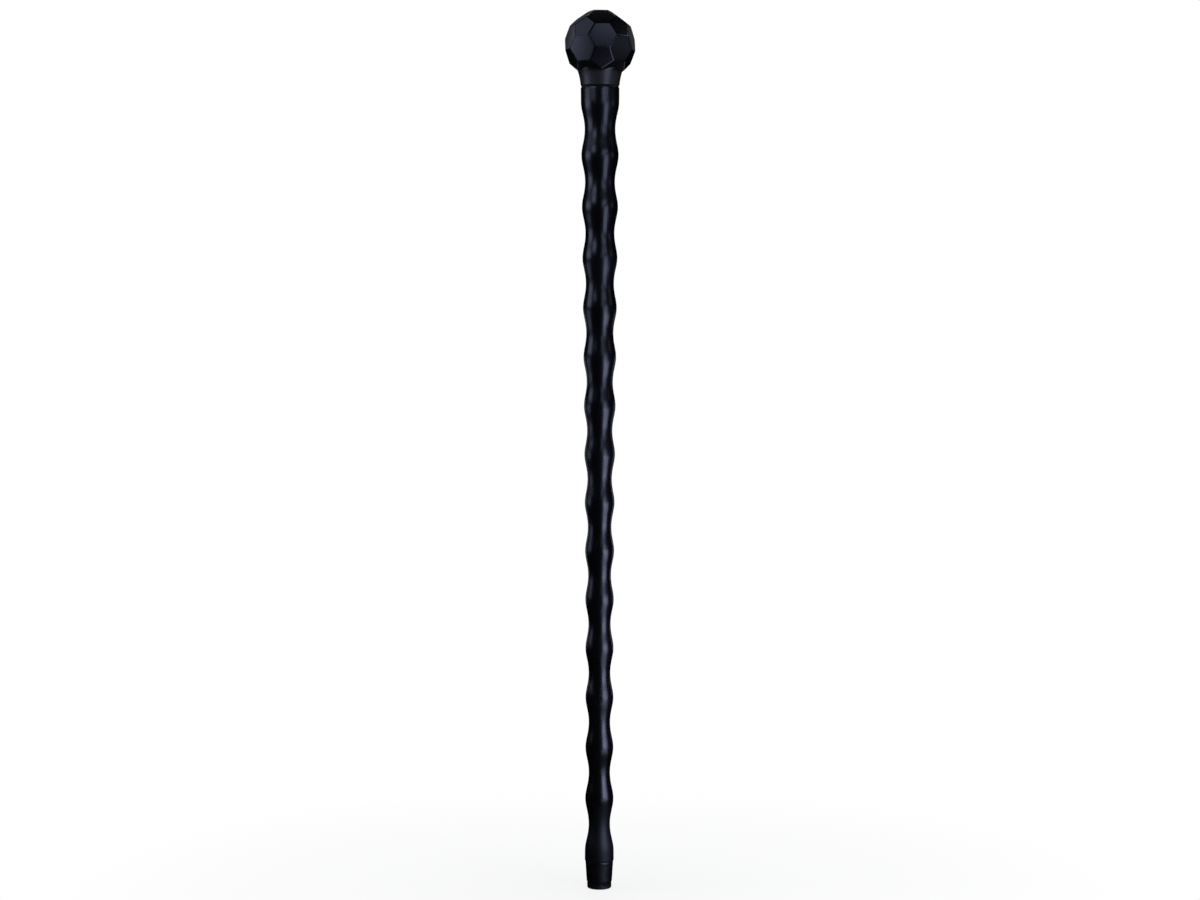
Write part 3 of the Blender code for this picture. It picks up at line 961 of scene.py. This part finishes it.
paper = bpy.data.materials.new("pale floor")
paper.use_nodes = True
tree = paper.node_tree
tree.nodes.clear()
distance = add_node(tree, "ShaderNodeVectorMath", {0: own_place(tree)}, operation="LENGTH").outputs["Value"]
whiter = remap(tree, distance, SHADOW_NEAR, SHADOW_FAR, WHITE_NEAR, 1.0)
plain = math_node(tree, "MULTIPLY", seen_rays(tree), whiter)
lit = add_node(tree, "ShaderNodeBsdfDiffuse", {"Color": PAPER_GREY}).outputs[0]
white = add_node(tree, "ShaderNodeEmission", {"Color": WHITE, "Strength": 1.0}).outputs[0]
mixed = add_node(tree, "ShaderNodeMixShader", {0: plain, 1: lit, 2: white}).outputs[0]
add_node(tree, "ShaderNodeOutputMaterial", {"Surface": mixed})
print(paper.name, "is", WHITE_NEAR, "white near the foot, and all white from", SHADOW_FAR, "m on")

# %% [markdown]
# The floor itself is a large grid, a tenth of a millimetre under the sole, so that the two never lie in one
# plane. It belongs to the stage and not to the stick.

# %% Floor
FLOOR_SIZE, FLOOR_CELLS, FLOOR_HEIGHT = 16, 4, -0.0001

pick_nothing()
bpy.ops.mesh.primitive_grid_add(
    x_subdivisions=FLOOR_CELLS, y_subdivisions=FLOOR_CELLS, size=FLOOR_SIZE, location=(0, 0, FLOOR_HEIGHT)
)
floor = bpy.context.object
floor.name = floor.data.name = "studio_floor"
give(paper, floor)
floor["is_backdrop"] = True

# %% [markdown]
# The world is a white backdrop for the camera and for reflections, and a weaker, even light for everything
# else. The Standard view shows colours as they are written.

# %% World
EVEN_LIGHT = 0.5

world = bpy.data.worlds.new("studio")
bpy.context.scene.world = world
world.use_nodes = True
tree = world.node_tree
back = tree.nodes["Background"]
back.inputs["Color"].default_value = WHITE
tree.links.new(remap(tree, seen_rays(tree), 0.0, 1.0, EVEN_LIGHT, 1.0), back.inputs["Strength"])
world.cycles.sampling_method = "NONE"
bpy.context.scene.view_settings.view_transform = "Standard"
print("the world is", world.name, "and lights at", EVEN_LIGHT)

# %% [markdown]
# Black gloss is photographed inside black cloth. With only white walls and a white floor to reflect, the
# stick would look grey. So a closed drum of black cloth stands round the set, with its bottom just over the
# floor and its faces turned inwards. It is there for reflections only: the camera looks through it, and it
# takes no light from the floor.

# %% Black cloth round the set
CLOTH_SIDES, CLOTH_RADIUS, CLOTH_HEIGHT, CLOTH_LIFT = 48, 1.9, 2.9, 0.0004

pick_nothing()
cloth_middle = (0, 0, CLOTH_HEIGHT / 2 + CLOTH_LIFT)
bpy.ops.mesh.primitive_cylinder_add(
    vertices=CLOTH_SIDES, radius=CLOTH_RADIUS, depth=CLOTH_HEIGHT, location=cloth_middle
)
cloth = bpy.context.object
cloth.name = cloth.data.name = "black_cloth"
edit_all(cloth)
bpy.ops.mesh.flip_normals()
bpy.ops.object.mode_set(mode="OBJECT")
cloth_black = bpy.data.materials.new("black cloth")
cloth_black.use_nodes = True
cloth_surface = cloth_black.node_tree.nodes["Principled BSDF"]
cloth_surface.inputs["Base Color"].default_value = (0.0, 0.0, 0.0, 1.0)
cloth_surface.inputs["Specular IOR Level"].default_value = 0.0
give(cloth_black, cloth)
cloth.visible_camera = cloth.visible_diffuse = cloth.visible_shadow = cloth.visible_transmission = False
cloth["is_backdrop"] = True

# %% [markdown]
# The lamps are soft boxes. On black gloss each one shows as a highlight of its own shape, so their places
# decide how the stick looks: tall boxes on the right and several on the left draw the two long highlights,
# others light the knob's facets, its rims or just its edges, and strips behind keep the back from going
# black. Under each lobe the skin mirrors the floor, so one box lies there and faces up, and the right
# highlight runs on. Each line gives a direction round the stick (0 is the camera's side, 90 its right), the
# height of the box's middle, its width and height, its distance, and its brightness, where 1 would look
# white.

# %% Lamps
LAMP_COLOUR = (0.82, 0.87, 1.0)
SOFT_BOXES = (
    ("left_box", -80, 0.82, 0.50, 0.28, 0.8, 2.3),
    ("left_tall_box", -78, 1.60, 0.60, 1.10, 0.8, 0.9),
    ("upper_left_box", -42, 1.06, 0.36, 0.20, 0.8, 3.0),
    ("right_tall_box", 40, 0.42, 0.76, 0.78, 1.6, 2.8),
    ("right_upper_box", 20, 0.93, 0.50, 0.16, 1.6, 2.8),
    ("right_side_box", 82, 0.83, 0.32, 0.14, 0.8, 0.55),
    ("edge_box", 32, 0.97, 0.44, 0.07, 0.8, 4.8),
    ("low_right_box", 51, 0.20, 0.56, 0.36, 0.8, 4.2),
    ("front_top_box", 22, 1.46, 0.56, 0.28, 0.8, 1.8),
    ("left_rear_box", -128, 1.26, 0.28, 0.36, 0.8, 0.6),
    ("right_rear_box", 101, 1.32, 0.50, 0.12, 0.8, 5.0),
    ("low_left_box", -89, 0.43, 0.50, 0.24, 0.8, 1.0),
    ("rear_strip", 180, 0.43, 0.30, 0.72, 0.8, 3.0),
    ("rear_left_strip", -140, 0.38, 0.20, 0.40, 0.8, 0.7),
    ("rear_right_strip", 136, 0.36, 0.20, 0.40, 0.8, 0.6),
    ("rear_top_box", 180, 1.78, 0.60, 0.36, 0.8, 1.2),
    ("right_rim_box", 154, 1.09, 0.26, 0.26, 0.8, 0.14),
    ("left_rim_box", -167, 1.25, 0.20, 0.26, 0.8, 0.12),
)
FLOOR_BOX = ("right_floor_box", 44, 0.03, 0.38, 0.60, 0.6, 2.3)


def soft_box(name, direction, height, wide, high, away, brightness, tilt=90):
    """A lamp that faces the stick. A tilt of 180 lays it down, facing up."""
    angle = radians(direction)
    pick_nothing()
    bpy.ops.object.light_add(
        type="AREA",
        location=(away * sin(angle), -away * cos(angle), height),
        rotation=(radians(tilt), 0, angle),
    )
    lamp = bpy.context.object
    lamp.name = lamp.data.name = name
    lamp.data.shape = "RECTANGLE"
    lamp.data.size, lamp.data.size_y = wide, high
    lamp.data.energy = brightness * pi * wide * high
    lamp.data.color = LAMP_COLOUR
    lamp.visible_camera = False


for box in SOFT_BOXES:
    soft_box(*box)
soft_box(*FLOOR_BOX, tilt=180)
print(len(SOFT_BOXES) + 1, "soft boxes")

# %% [markdown]
# The camera stands 2.6 m in front of the stick, 0.6 m up, and looks down by less than three degrees. It
# leans to one side by a hair, as the photograph does. The long lens makes the stick fill the height of
# the picture.

# %% Camera
CAMERA_PLACE = (0.0002, -2.6, 0.600)
LOOK_DOWN, LEAN = radians(2.652), radians(-0.06)
LENS, SENSOR = 71.9, 36.0

pick_nothing()
bpy.ops.object.camera_add(location=CAMERA_PLACE, rotation=(pi / 2 - LOOK_DOWN, LEAN, 0))
camera = bpy.context.object
camera.name = "studio_camera"
camera.data.lens = LENS
camera.data.sensor_width = SENSOR
bpy.context.scene.camera = camera
print("camera at", CAMERA_PLACE, "with a lens of", LENS, "mm")

# %% [markdown]
# Last, the finished stick's box is measured and printed in millimetres, so that a piece which has grown
# or gone missing shows at once.

# %% Measure the finished stick
low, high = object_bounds()
print("visual box in mm:", [round(1000 * side, 1) for side in high - low])
pick_nothing()
